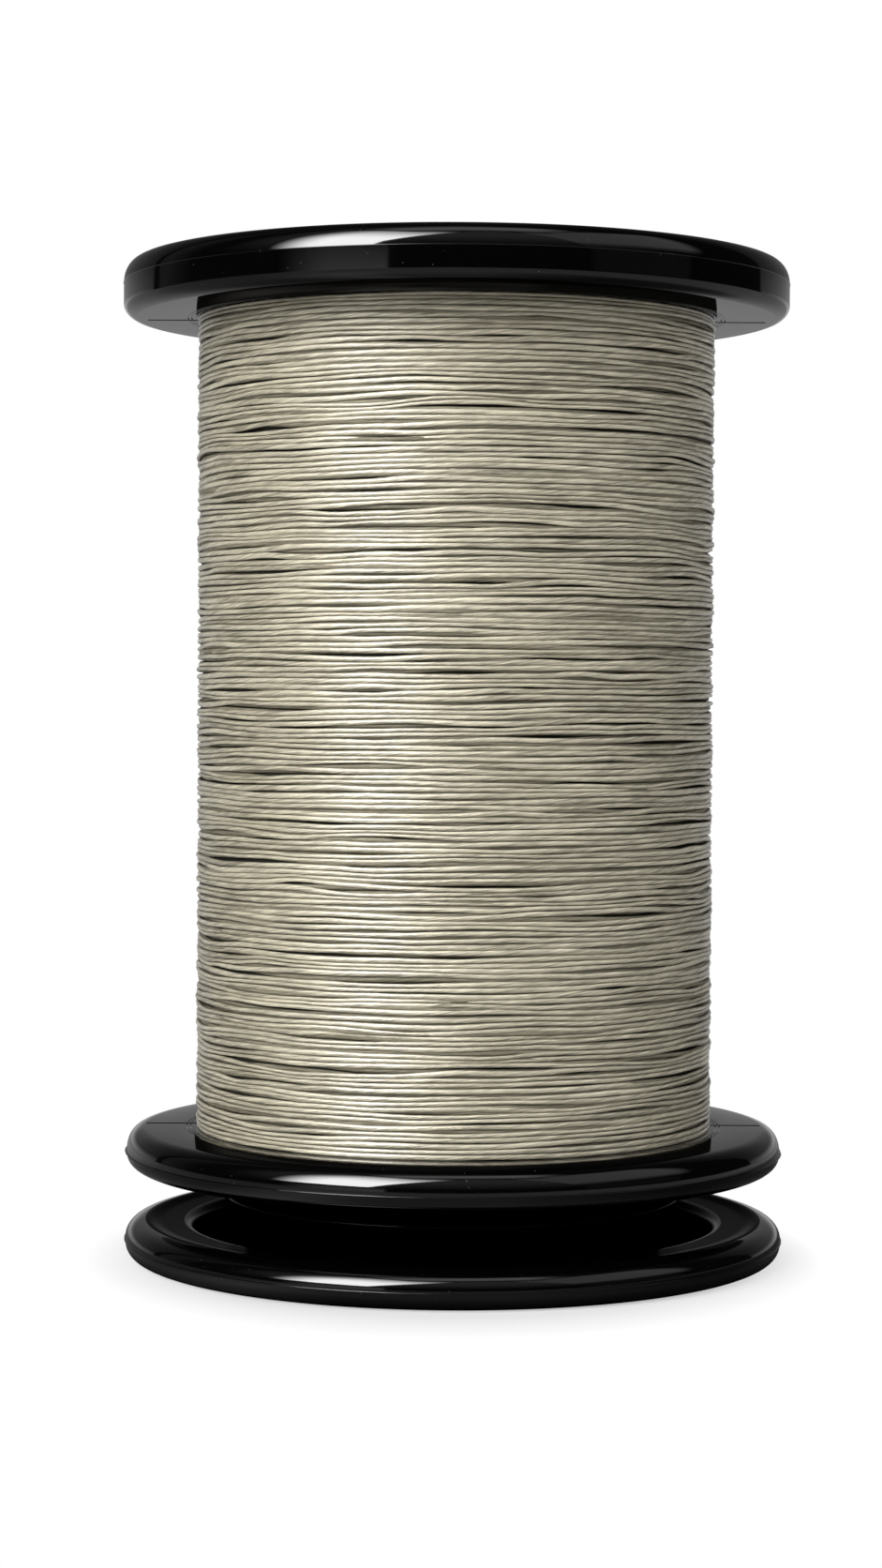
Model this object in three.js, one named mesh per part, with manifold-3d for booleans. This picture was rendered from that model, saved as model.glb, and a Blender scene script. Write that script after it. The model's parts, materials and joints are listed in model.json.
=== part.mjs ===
// A tall moulded spool with a full winding of fine twisted strand and a snap foot.
// The foot is a second disc on a hollow stem, whose sprung fingers run in a groove in the
// barrel's bore. Pulled down, as here, it opens the waist between the two lower discs, where
// a loose end is wound and parked. Pushed up, its rim all but closes on the base flange.
// Millimetres, +Z up, origin at the centre of the foot's standing face.

import * as THREE from 'three';
import { mergeVertices } from 'three/addons/utils/BufferGeometryUtils.js';
import Module from 'manifold-3d';

const wasm = await Module();
wasm.setup();

// ---------- driving dimensions ----------

// Discs: the two lower ones share one outer radius, measured over the flash line.
const FLANGE_RADIUS = 25;
const TOP_OVERHANG = 0.28;         // how far the top flange stands out past them
const FLASH_DEPTH = 0.14;          // how far the mould flash stands out of the rim
const FLASH_HEIGHT = 0.12;

// Foot disc
const FOOT_LOWER_ROUND = 1.37;     // height of the rounding below the flash line
const FOOT_UPPER_ROUND = 1.49;     // height of the rim bead's rounding above it
const FOOT_FLOOR = 0.65;           // floor thickness inside the dish
const FOOT_RECESS = 0.15;          // the floor is held this far off the table
const STANDING_RING = 2.6;         // width of the flat ring the spool stands on
const DISH_CLEARANCE = 2.5;        // dish wall to the boss that enters it
const DISH_EDGE_ROUND = 0.5;
const RIM_STEP = 0.2;              // the rim bead stands this much above the land
const RIM_BEAD = 2.3;              // radial width of the rim bead
const RIM_BEAD_ROUND = 2.05;       // how much of that its outer rounding takes

// Waist, with the foot pulled open
const WAIST_GAP = 3.8;
const BOSS_DEPTH = 2.36;           // boss under the base flange
const BOSS_RADIUS = 17.25;
const BOSS_WALL = 1.2;
const BOSS_EDGE_ROUND = 0.55;
const STOP_GAP = 0.3;              // what is left between boss and dish floor when shut
const SKIRT_WALL = 1.4;            // guide skirt on the foot, which telescopes into the boss
const SKIRT_CLEARANCE = 0.35;

// Base flange
const BASE_LOWER_ROUND = 1.36;
const BASE_LOWER_ROUND_WIDTH = 2.2;
const BASE_UPPER_ROUND = 1.8;
const BASE_UPPER_ROUND_WIDTH = 1.4;
const BASE_WEB = 1.4;              // what is left above the cavity that takes the skirt
const FOOT_LOWER_ROUND_WIDTH = 1.5;

// Winding space and barrel
const TRAVERSE = 61.1;
const BARREL_RADIUS = 12.6;
const BARREL_WALL = 2.2;

// Top flange
const TOP_LOWER_ROUND = 0.98;
const TOP_LOWER_ROUND_WIDTH = 1.1;
const TOP_BAND = 1.55;             // the plain upright band below the flash line
const TOP_UPPER_ROUND = 1.65;
const TOP_UPPER_ROUND_WIDTH = 1.2;
const TOP_RECESS_DEPTH = 1.2;      // shallow ring recess in the end face
const TOP_LAND = 3.5;              // flat land between the rim rounding and the recess
const HUB_LAND = 2.6;              // flat land between the bore chamfer and the recess
const BORE_CHAMFER = 0.6;
const WALL_DRAFT = 0.4;            // how far recess walls lean

// Stem of the foot
const STEM_CLEARANCE = 0.4;        // radial running clearance in the barrel's bore
const STEM_WALL = 1.6;
const FINGER_COUNT = 4;
const FINGER_SLOT = 2.4;           // width of the slots between the sprung fingers
const FINGER_LENGTH = 11;          // from the slot's bottom to the tip of a finger
const BEAD_HEIGHT = 1.6;
const BEAD_DEPTH = 0.9;            // how far the bead stands out of the finger
const BEAD_HOLD = 8.1;             // lower edge of the bead above the base flange's top face
const BEAD_LEAD = 0.5;             // height of the bead's sloping edges
const FINGER_TIP = 0.8;            // plain tip above the bead
const GROOVE_CLEARANCE = 0.4;      // bead to the bottom of its groove
const GROOVE_END_GAP = 0.3;        // bead to the groove's ends at the ends of its travel

// Winding
const WINDING_MARGIN = 5.45;       // flange left standing out past the full winding
const TURNS = 24;
const TURN_GAP = 0.47;             // clear gap between neighbouring turns
const LAYER_GAP = 0.3;             // between the winding and what it lies against

// Facets
const ROUND_FULLNESS = 2.3;        // 2 is an ellipse, more is squarer
const DISC_FACETS = 60;
const LAYER_FACETS = 36;
const ROUND_STEPS = 3;
const STEPS_PER_TURN = 24;
const TUBE_SIDES = 6;

// ---------- derived sizes ----------

const rimRadius = FLANGE_RADIUS - FLASH_DEPTH;
const topRimRadius = rimRadius + TOP_OVERHANG;
const boreRadius = BARREL_RADIUS - BARREL_WALL;
const dishRadius = BOSS_RADIUS + DISH_CLEARANCE;
const bossInner = BOSS_RADIUS - BOSS_WALL;
const skirtRadius = bossInner - SKIRT_CLEARANCE;
const stemRadius = boreRadius - STEM_CLEARANCE;
const arborRadius = stemRadius - STEM_WALL;
const windingRadius = FLANGE_RADIUS - WINDING_MARGIN;

const footCrease = FOOT_LOWER_ROUND;
const footTop = footCrease + FOOT_UPPER_ROUND;
const footLand = footTop - RIM_STEP;
const dishFloor = FOOT_RECESS + FOOT_FLOOR;
const baseUnder = footTop + WAIST_GAP;
const baseCrease = baseUnder + BASE_LOWER_ROUND;
const baseTop = baseCrease + BASE_UPPER_ROUND;
const bossBottom = baseUnder - BOSS_DEPTH;
const footTravel = bossBottom - dishFloor - STOP_GAP;
const cavityRoof = baseTop - BASE_WEB;
const skirtTop = cavityRoof - footTravel - STOP_GAP;
const topUnder = baseTop + TRAVERSE;
const topBandLow = topUnder + TOP_LOWER_ROUND;
const topCrease = topBandLow + TOP_BAND;
const topEnd = topCrease + TOP_UPPER_ROUND;

const beadLow = baseTop + BEAD_HOLD;
const beadHigh = beadLow + BEAD_HEIGHT;
const beadRadius = stemRadius + BEAD_DEPTH;
const stemTip = beadHigh + FINGER_TIP;
const grooveRadius = beadRadius + GROOVE_CLEARANCE;
const grooveLow = beadLow - GROOVE_END_GAP;
const grooveHigh = beadHigh + footTravel + GROOVE_END_GAP;

const turnPitch = (TRAVERSE - 2 * LAYER_GAP + TURN_GAP) / (TURNS + 1);
const turnDiameter = turnPitch - TURN_GAP;
const turnRadius = windingRadius - turnDiameter / 2;
const innerLayersRadius = windingRadius - turnDiameter - LAYER_GAP;

// ---------- materials ----------

const blackPlastic = (name) => new THREE.MeshStandardMaterial({
  name,
  color: 0x08080a,
  roughness: 0.16,
  metalness: 0,
});

const strandMaterial = (name) => new THREE.MeshStandardMaterial({
  name,
  color: 0xa39c86,
  roughness: 0.5,
  metalness: 0.35,
});

// ---------- shape helpers ----------

// Points of an oval arc from one angle to another, in degrees, both ends included.
function arc(centreR, centreZ, radiusR, radiusZ, from, to, fullness = 2) {
  const out = (value) => Math.sign(value) * Math.abs(value) ** (2 / fullness);
  const points = [];
  for (let i = 0; i <= ROUND_STEPS; i += 1) {
    const angle = THREE.MathUtils.degToRad(from + ((to - from) * i) / ROUND_STEPS);
    points.push([
      centreR + radiusR * out(Math.cos(angle)),
      centreZ + radiusZ * out(Math.sin(angle)),
    ]);
  }
  return points;
}

// The flash line: a small square fin at the largest radius.
function flash(rim, creaseZ) {
  const half = FLASH_HEIGHT / 2;
  return [
    [rim, creaseZ + half],
    [rim + FLASH_DEPTH, creaseZ + half],
    [rim + FLASH_DEPTH, creaseZ - half],
    [rim, creaseZ - half],
  ];
}

// Rounding from a face down to the flash line.
function roundAbove(rim, creaseZ, height, width, fullness) {
  const low = creaseZ + FLASH_HEIGHT / 2;
  return arc(rim - width, low, width, creaseZ + height - low, 90, 0, fullness).slice(0, -1);
}

// Rounding from the flash line, or from a band under it, down to a face.
function roundBelow(rim, startZ, height, width) {
  return arc(rim - width, startZ, width, height, 0, -90).slice(1);
}

// A plain geometry with only merged positions, its faces turned outwards.
function plain(geometry) {
  geometry.deleteAttribute('normal');
  geometry.deleteAttribute('uv');
  const merged = mergeVertices(geometry, 1e-4);
  return signedVolume(merged) < 0 ? turnedOver(merged) : merged;
}

function signedVolume(geometry) {
  const a = new THREE.Vector3();
  const b = new THREE.Vector3();
  const c = new THREE.Vector3();
  const { position } = geometry.attributes;
  let volume = 0;
  for (let i = 0; i < geometry.index.count; i += 3) {
    a.fromBufferAttribute(position, geometry.index.getX(i));
    b.fromBufferAttribute(position, geometry.index.getX(i + 1));
    c.fromBufferAttribute(position, geometry.index.getX(i + 2));
    volume += a.dot(b.cross(c)) / 6;
  }
  return volume;
}

function turnedOver(geometry) {
  const index = Array.from(geometry.index.array);
  for (let i = 0; i < index.length; i += 3) {
    [index[i + 1], index[i + 2]] = [index[i + 2], index[i + 1]];
  }
  geometry.setIndex(index);
  return geometry;
}

// Revolves a closed [radius, height] profile round Z.
function revolved(profile, facets = DISC_FACETS) {
  const points = [...profile, profile[0]].map(([r, z]) => new THREE.Vector2(r, z));
  const geometry = new THREE.LatheGeometry(points, facets);
  geometry.rotateX(Math.PI / 2);
  return plain(geometry);
}

function toSolid(geometry) {
  const vertProperties = new Float32Array(geometry.attributes.position.array);
  const triVerts = new Uint32Array(geometry.index.array);
  return new wasm.Manifold(new wasm.Mesh({ numProp: 3, vertProperties, triVerts }));
}

function toGeometry(solid) {
  const mesh = solid.getMesh();
  const geometry = new THREE.BufferGeometry();
  geometry.setAttribute('position', new THREE.BufferAttribute(mesh.vertProperties, 3));
  geometry.setIndex(new THREE.BufferAttribute(mesh.triVerts, 1));
  return geometry;
}

function named(name, geometry, material) {
  const mesh = new THREE.Mesh(geometry, material);
  mesh.name = name;
  return mesh;
}

// ---------- foot ----------

// Disc with a dish in its top, a standing ring below, the guide skirt, and the hollow stem
// in the middle.
function footProfile() {
  const ringOuter = rimRadius - FOOT_LOWER_ROUND_WIDTH;
  const ringInner = ringOuter - STANDING_RING;
  const beadInner = rimRadius - RIM_BEAD;
  const edge = dishRadius + DISH_EDGE_ROUND;
  return [
    [arborRadius, FOOT_RECESS],
    [arborRadius, stemTip],
    [stemRadius, stemTip],
    [stemRadius, beadHigh],
    [beadRadius, beadHigh - BEAD_LEAD],
    [beadRadius, beadLow + BEAD_LEAD],
    [stemRadius, beadLow],
    [stemRadius, dishFloor],
    [skirtRadius - SKIRT_WALL, dishFloor],
    [skirtRadius - SKIRT_WALL, skirtTop],
    [skirtRadius, skirtTop],
    [skirtRadius, dishFloor],
    [dishRadius, dishFloor],
    ...arc(edge, footLand - DISH_EDGE_ROUND, DISH_EDGE_ROUND, DISH_EDGE_ROUND, 180, 90),
    [beadInner, footLand],
    ...roundAbove(rimRadius, footCrease, FOOT_UPPER_ROUND, RIM_BEAD_ROUND),
    ...flash(rimRadius, footCrease),
    ...roundBelow(rimRadius, footCrease - FLASH_HEIGHT / 2, footCrease - FLASH_HEIGHT / 2,
      FOOT_LOWER_ROUND_WIDTH),
    [ringInner, 0],
    [ringInner - FOOT_RECESS, FOOT_RECESS],
  ];
}

// Slots that part the upper stem into sprung fingers.
function fingerSlots() {
  const reach = 2 * (beadRadius + GROOVE_CLEARANCE);
  const height = FINGER_LENGTH + FINGER_TIP;
  const slots = [];
  for (let i = 0; i < FINGER_COUNT / 2; i += 1) {
    const slot = new THREE.BoxGeometry(reach, FINGER_SLOT, height);
    slot.translate(0, 0, stemTip - FINGER_LENGTH + height / 2);
    slot.rotateZ((i * 2 * Math.PI) / FINGER_COUNT);
    slots.push(toSolid(plain(slot)));
  }
  return slots;
}

function snapFoot() {
  let solid = toSolid(revolved(footProfile()));
  fingerSlots().forEach((slot) => {
    solid = solid.subtract(slot);
  });
  return toGeometry(solid);
}

// ---------- spool ----------

// Base flange, with the boss ring and the bore's collar under it, and between them the
// cavity that takes the foot's skirt.
function baseFlangeProfile() {
  const bossRound = arc(BOSS_RADIUS - BOSS_EDGE_ROUND, bossBottom + BOSS_EDGE_ROUND,
    BOSS_EDGE_ROUND, BOSS_EDGE_ROUND, 0, -90);
  return [
    [boreRadius, baseTop],
    ...roundAbove(rimRadius, baseCrease, BASE_UPPER_ROUND, BASE_UPPER_ROUND_WIDTH,
      ROUND_FULLNESS),
    ...flash(rimRadius, baseCrease),
    ...roundBelow(rimRadius, baseCrease - FLASH_HEIGHT / 2, BASE_LOWER_ROUND - FLASH_HEIGHT / 2,
      BASE_LOWER_ROUND_WIDTH),
    [BOSS_RADIUS, baseUnder],
    ...bossRound,
    [bossInner, bossBottom],
    [bossInner, cavityRoof],
    [BARREL_RADIUS, cavityRoof],
    [BARREL_RADIUS, bossBottom],
    [boreRadius, bossBottom],
  ];
}

// Barrel tube, with the groove that the foot's beads run in.
function barrelProfile() {
  const slope = grooveRadius - boreRadius;
  return [
    [BARREL_RADIUS, baseTop],
    [BARREL_RADIUS, topUnder],
    [boreRadius, topUnder],
    [boreRadius, grooveHigh + slope],
    [grooveRadius, grooveHigh],
    [grooveRadius, grooveLow],
    [boreRadius, grooveLow],
    [boreRadius, baseTop],
  ];
}

// Top flange: upright band under the flash line, ring recess in the end face.
function topFlangeProfile() {
  const recessOuter = topRimRadius - TOP_UPPER_ROUND_WIDTH - TOP_LAND;
  const recessInner = boreRadius + BORE_CHAMFER + HUB_LAND;
  const recessFloor = topEnd - TOP_RECESS_DEPTH;
  return [
    [boreRadius, topUnder],
    ...roundBelow(topRimRadius, topBandLow, TOP_LOWER_ROUND, TOP_LOWER_ROUND_WIDTH).reverse(),
    [topRimRadius, topBandLow],
    ...flash(topRimRadius, topCrease).reverse(),
    ...roundAbove(topRimRadius, topCrease, TOP_UPPER_ROUND, TOP_UPPER_ROUND_WIDTH).reverse(),
    [recessOuter, topEnd],
    [recessOuter - WALL_DRAFT, recessFloor],
    [recessInner + WALL_DRAFT, recessFloor],
    [recessInner, topEnd],
    [boreRadius + BORE_CHAMFER, topEnd],
    [boreRadius, topEnd - BORE_CHAMFER],
  ];
}

// ---------- winding ----------

// Inner layers: a plain ring from just off the barrel to just under the outer layer.
function innerLayersProfile() {
  const low = baseTop + LAYER_GAP;
  const high = topUnder - LAYER_GAP;
  return [
    [BARREL_RADIUS + LAYER_GAP, low],
    [innerLayersRadius, low],
    [innerLayersRadius, high],
    [BARREL_RADIUS + LAYER_GAP, high],
  ];
}

// Centre, tangent and outward direction along the outer layer's single helix. Both ends run
// on straight for one diameter of the turn.
function helixStations() {
  const rise = turnPitch / (2 * Math.PI);
  const startZ = baseTop + LAYER_GAP + turnDiameter / 2;
  const stationAt = (angle, ahead) => {
    const outward = new THREE.Vector3(Math.cos(angle), Math.sin(angle), 0);
    const along = new THREE.Vector3(-Math.sin(angle), Math.cos(angle), rise / turnRadius);
    along.normalize();
    const centre = outward.clone().multiplyScalar(turnRadius);
    centre.z = startZ + rise * angle;
    centre.addScaledVector(along, ahead);
    return { centre, along, outward };
  };
  const count = TURNS * STEPS_PER_TURN;
  const lastAngle = TURNS * 2 * Math.PI;
  const stations = [stationAt(0, -turnDiameter)];
  for (let i = 0; i <= count; i += 1) {
    stations.push(stationAt((lastAngle * i) / count, 0));
  }
  stations.push(stationAt(lastAngle, turnDiameter));
  return stations;
}

// One closed tube through the stations.
function tubeThrough(stations, radius) {
  const positions = [];
  const index = [];
  stations.forEach(({ centre, along, outward }) => {
    const upward = along.clone().cross(outward).normalize();
    for (let side = 0; side < TUBE_SIDES; side += 1) {
      const angle = (side * 2 * Math.PI) / TUBE_SIDES;
      const point = centre.clone();
      point.addScaledVector(outward, radius * Math.cos(angle));
      point.addScaledVector(upward, radius * Math.sin(angle));
      positions.push(point.x, point.y, point.z);
    }
  });
  for (let ring = 0; ring + 1 < stations.length; ring += 1) {
    for (let side = 0; side < TUBE_SIDES; side += 1) {
      const a = ring * TUBE_SIDES + side;
      const b = ring * TUBE_SIDES + ((side + 1) % TUBE_SIDES);
      index.push(a, b, b + TUBE_SIDES, a, b + TUBE_SIDES, a + TUBE_SIDES);
    }
  }
  const last = (stations.length - 1) * TUBE_SIDES;
  for (let side = 1; side + 1 < TUBE_SIDES; side += 1) {
    index.push(0, side + 1, side, last, last + side, last + side + 1);
  }
  const geometry = new THREE.BufferGeometry();
  geometry.setAttribute('position', new THREE.Float32BufferAttribute(positions, 3));
  geometry.setIndex(index);
  return plain(geometry);
}

// Least clear distance between parts of the tube at least half a turn apart.
function leastGap(stations, diameter) {
  let least = Infinity;
  stations.forEach(({ centre }, i) => {
    for (let j = i + STEPS_PER_TURN / 2; j < stations.length; j += 1) {
      least = Math.min(least, centre.distanceTo(stations[j].centre));
    }
  });
  return least - diameter;
}

function outerLayer() {
  const stations = helixStations();
  console.log(`outer layer: least gap to itself ${leastGap(stations, turnDiameter).toFixed(3)} mm`);
  return tubeThrough(stations, turnDiameter / 2);
}

// ---------- assembly ----------

const spool = new THREE.Group();
spool.add(
  named('top_flange', revolved(topFlangeProfile()), blackPlastic('top_flange')),
  named('barrel', revolved(barrelProfile()), blackPlastic('barrel')),
  named('base_flange', revolved(baseFlangeProfile()), blackPlastic('base_flange')),
  named('filament_inner_layers', revolved(innerLayersProfile(), LAYER_FACETS),
    strandMaterial('inner_layers')),
  named('filament_outer_layer', outerLayer(), strandMaterial('outer_layer')),
);

const foot = new THREE.Group();
foot.add(named('snap_foot', snapFoot(), blackPlastic('snap_foot')));

const part = new THREE.Group();
part.add(spool, foot);

export default part;
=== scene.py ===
# A tall black moulded spool, fully wound with fine twisted strand, standing on its pulled-out
# snap foot. Lengths are metres; MM turns a maker's millimetres into them.
import json
import math
from collections import namedtuple
from functools import reduce

import bpy
import numpy as np
from mathutils import Matrix, Quaternion, Vector


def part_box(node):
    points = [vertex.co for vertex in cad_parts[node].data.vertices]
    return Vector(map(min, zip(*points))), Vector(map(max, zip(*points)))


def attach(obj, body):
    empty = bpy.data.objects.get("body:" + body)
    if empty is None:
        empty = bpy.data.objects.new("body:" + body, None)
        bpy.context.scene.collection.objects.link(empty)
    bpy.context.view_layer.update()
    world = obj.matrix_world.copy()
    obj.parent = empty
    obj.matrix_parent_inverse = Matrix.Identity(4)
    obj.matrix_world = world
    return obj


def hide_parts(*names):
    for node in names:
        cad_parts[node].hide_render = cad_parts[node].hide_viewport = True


MM = 0.001

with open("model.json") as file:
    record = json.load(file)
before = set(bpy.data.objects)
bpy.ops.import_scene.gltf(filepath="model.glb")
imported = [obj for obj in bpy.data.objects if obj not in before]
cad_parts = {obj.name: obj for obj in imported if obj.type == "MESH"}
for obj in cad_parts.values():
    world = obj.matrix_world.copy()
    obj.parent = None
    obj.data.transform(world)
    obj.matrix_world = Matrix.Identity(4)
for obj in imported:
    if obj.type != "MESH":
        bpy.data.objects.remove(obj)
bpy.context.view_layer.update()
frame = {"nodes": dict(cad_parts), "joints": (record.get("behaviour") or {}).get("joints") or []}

# ---------------------------------------------------------------- sizes from the frame

foot_low, foot_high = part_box("snap_foot")
base_low, base_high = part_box("base_flange")
top_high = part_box("top_flange")[1]
barrel_low, barrel_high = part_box("barrel")

BARREL_WALL = 2.2 * MM
WINDING_MARGIN = 5.45 * MM       # flange left standing out past the full winding

FLANGE_RADIUS = base_high[0]
BARREL_RADIUS = barrel_high[0]
BORE_RADIUS = BARREL_RADIUS - BARREL_WALL
WINDING_RADIUS = FLANGE_RADIUS - WINDING_MARGIN
TRAVERSE_LOW = barrel_low[2]
TRAVERSE_HIGH = barrel_high[2]
FLOOR_Z = foot_low[2]
TOP_END = top_high[2]

# ---------------------------------------------------------------- moulding sizes

FLASH_HEIGHT = 0.07 * MM
BASE_FLASH = 0.15 * MM           # how far the fin of flash stands out of each rim
FOOT_FLASH = 0.09 * MM
TOP_FLASH = 0.035 * MM
RIM_RADIUS = FLANGE_RADIUS - 0.18 * MM    # the base flange's rim, inside its flash
FOOT_RIM = foot_high[0] - 0.07 * MM
TOP_RIM = top_high[0] - 0.14 * MM
ROUND_FULLNESS = 2.3             # 2 is an ellipse, more is squarer

FOOT_CREASE = FLOOR_Z + 1.37 * MM
FOOT_TOP = FOOT_CREASE + 1.49 * MM
FOOT_LOWER_WIDTH = 1.5 * MM
RIM_STEP = 0.2 * MM              # the rim bead stands this much above the land
RIM_BEAD = 2.3 * MM              # its width, and how much of that its rounding takes
RIM_BEAD_ROUND = 1.85 * MM
BEAD_SLOPE = 1.3 * MM            # width of its soft inner slope
FOOT_LAND = FOOT_TOP - RIM_STEP
FOOT_RECESS = 0.15 * MM          # the foot's floor is held this far off the table
DISH_FLOOR = FLOOR_Z + 0.8 * MM
STANDING_RING = 2.6 * MM

BASE_CREASE = TRAVERSE_LOW - 1.8 * MM
BASE_UNDER = BASE_CREASE - 1.36 * MM
BASE_UPPER_WIDTH = 1.4 * MM
BASE_LOWER_WIDTH = 2.2 * MM
BASE_WEB = 1.4 * MM
CAVITY_ROOF = TRAVERSE_LOW - BASE_WEB
BOSS_BOTTOM = base_low[2]
BOSS_RADIUS = 17.25 * MM
BOSS_INNER = BOSS_RADIUS - 1.2 * MM
BOSS_ROOT_ROUND = 0.4 * MM
BOSS_EDGE_ROUND = 0.4 * MM
BOSS_LIP = 0.10 * MM             # the boss's lower edge stands this much proud of its wall
DISH_RADIUS = BOSS_RADIUS + 2.5 * MM
DISH_EDGE_ROUND = 0.7 * MM
SKIRT_RADIUS = BOSS_INNER - 0.35 * MM
SKIRT_INNER = SKIRT_RADIUS - 1.4 * MM
FOOT_TRAVEL = frame["joints"][0]["range_m"][1]
SKIRT_TOP = CAVITY_ROOF - FOOT_TRAVEL - 0.3 * MM

TOP_UNDER = TRAVERSE_HIGH
TOP_BAND_LOW = TOP_UNDER + 0.98 * MM
TOP_CREASE = TOP_BAND_LOW + 1.55 * MM
TOP_UPPER_WIDTH = 1.2 * MM
TOP_LOWER_WIDTH = 1.1 * MM
TOP_RECESS_FLOOR = TOP_END - 1.2 * MM
TOP_LAND = 3.5 * MM              # flat land between the rim's rounding and the ring recess
HUB_LAND = 2.6 * MM              # flat land between the recess and the bore's chamfer
BORE_CHAMFER = 0.6 * MM
WALL_DRAFT = 0.4 * MM            # how far the recess's walls lean

STEM_RADIUS = BORE_RADIUS - 0.4 * MM
ARBOR_RADIUS = STEM_RADIUS - 1.6 * MM
STEM_TIP = foot_high[2]
BEAD_HIGH = STEM_TIP - 0.8 * MM
BEAD_LOW = BEAD_HIGH - 1.6 * MM
BEAD_RADIUS = STEM_RADIUS + 0.9 * MM
BEAD_LEAD = 0.5 * MM
FINGER_BASE = STEM_TIP - 11 * MM
FINGER_SLOT = 2.4 * MM
FINGER_COUNT = 4

WITNESS_RADIUS = FLANGE_RADIUS - 4.7 * MM    # two fine grooves in each inner face
WITNESS_STEP = 0.28 * MM
WITNESS_WIDTH = 0.12 * MM
WITNESS_DEPTH = 0.05 * MM

SPLIT_HALF_WIDTH = 0.07 * MM     # the ridge of the mould's side split
SPLIT_HEIGHT = 0.035 * MM
SPLIT_SUNK = 0.02 * MM
SPLIT_START = 0.5 * MM           # it starts this far inside the winding
SPLIT_STATIONS = 12

ROUND_SEGMENTS = 288
FINGER_SEGMENTS = 40
ARC_STEPS = 12
SMALL_ARC_STEPS = 6
FLASH_ARC_STEPS = 8
SLOPE_STEPS = 8
FACE_MARGIN = 0.06 * MM          # a flange's inner face counts with what is this near it

# ---------------------------------------------------------------- mesh helpers


def mesh_object(name, verts, faces, smooth=True):
    mesh = bpy.data.meshes.new(name)
    mesh.from_pydata([tuple(v) for v in verts], [], faces)
    mesh.validate()
    mesh.polygons.foreach_set("use_smooth", [smooth] * len(mesh.polygons))
    mesh.update()
    obj = bpy.data.objects.new(name, mesh)
    bpy.context.collection.objects.link(obj)
    return obj


def arc(centre_r, centre_z, radius_r, radius_z, start, end, steps=ARC_STEPS, fullness=2):
    """Points of an oval arc, in degrees, both ends included."""
    def out(value):
        return math.copysign(abs(value) ** (2 / fullness), value)
    angles = np.radians(np.linspace(start, end, steps + 1))
    return [
        (centre_r + radius_r * out(math.cos(a)), centre_z + radius_z * out(math.sin(a)))
        for a in angles
    ]


def sharp_by_angle(obj, degrees=32):
    """Marks the edges that turn more than this as sharp, so that roundings stay smooth."""
    mesh = obj.data
    limit = math.radians(degrees)
    normals = [p.normal.copy() for p in mesh.polygons]
    edge_faces = {}
    for index, poly in enumerate(mesh.polygons):
        for key in poly.edge_keys:
            edge_faces.setdefault(key, []).append(index)
    for edge in mesh.edges:
        pair = edge_faces.get(tuple(sorted(edge.vertices)), [])
        if len(pair) == 2:
            turn = normals[pair[0]].angle(normals[pair[1]], 0.0)
            edge.use_edge_sharp = turn > limit


def lathe(name, profile, segments=ROUND_SEGMENTS, start=0.0, end=360.0):
    """Revolves a closed profile of (radius, height). A part turn gets end caps."""
    whole = abs(end - start - 360.0) < 1e-6
    count = segments if whole else segments + 1
    size = len(profile)
    verts = []
    for i in range(count):
        angle = math.radians(start + (end - start) * i / segments)
        cos, sin = math.cos(angle), math.sin(angle)
        verts.extend((r * cos, r * sin, z) for r, z in profile)
    area = sum(
        profile[k][0] * profile[(k + 1) % size][1]
        - profile[(k + 1) % size][0] * profile[k][1]
        for k in range(size)
    )
    faces = []
    for i in range(segments):
        here = i * size
        there = ((i + 1) % count) * size
        for k in range(size):
            n = (k + 1) % size
            quad = (here + k, there + k, there + n, here + n)
            faces.append(quad if area > 0 else quad[::-1])
    if not whole:
        first = list(range(size))
        last = [(count - 1) * size + k for k in range(size)]
        faces.append(first[::-1] if area < 0 else first)
        faces.append(last if area < 0 else last[::-1])
    obj = mesh_object(name, verts, faces)
    sharp_by_angle(obj)
    return obj


def groove(radius, face_z, side):
    """A fine V-shaped witness groove in a flat face; side is -1 where the face looks up."""
    half = WITNESS_WIDTH / 2
    return [
        (radius - half, face_z),
        (radius, face_z + side * WITNESS_DEPTH),
        (radius + half, face_z),
    ]


def flash(rim, crease_z, depth):
    """The fin of flash, from its top edge down to its bottom edge, round at the tip."""
    half = FLASH_HEIGHT / 2
    return [
        (rim, crease_z + half),
        *arc(rim + depth - half, crease_z, half, half, 90, -90, FLASH_ARC_STEPS),
        (rim, crease_z - half),
    ]


def ragged_flash(obj, rim, depth, seed):
    """Lets the fin's tip wander in and out round the rim, as flash does."""
    rng = np.random.default_rng(seed)
    waves = [(rng.integers(9, 140), rng.uniform(0, 2 * math.pi)) for _ in range(14)]
    for vert in obj.data.vertices:
        radius = math.hypot(vert.co.x, vert.co.y)
        if radius < rim + depth * 0.5:
            continue
        angle = math.atan2(vert.co.y, vert.co.x)
        wander = sum(math.cos(count * angle + phase) for count, phase in waves) / 4
        scale = 1 + min(wander, 0) * depth * 0.3 / radius
        vert.co.x *= scale
        vert.co.y *= scale


def bead_slope(start, low, high):
    """The soft S-shaped rise from the land to the rim bead's crest."""
    return [
        (start + BEAD_SLOPE * i / SLOPE_STEPS,
         low + (high - low) * (1 - math.cos(math.pi * i / SLOPE_STEPS)) / 2)
        for i in range(SLOPE_STEPS)
    ]


def round_above(rim, crease_z, face_z, width, fullness=2):
    """The rim's rounding, from the face down to the flash."""
    low = crease_z + FLASH_HEIGHT / 2
    return arc(rim - width, low, width, face_z - low, 90, 0, fullness=fullness)[:-1]


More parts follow.
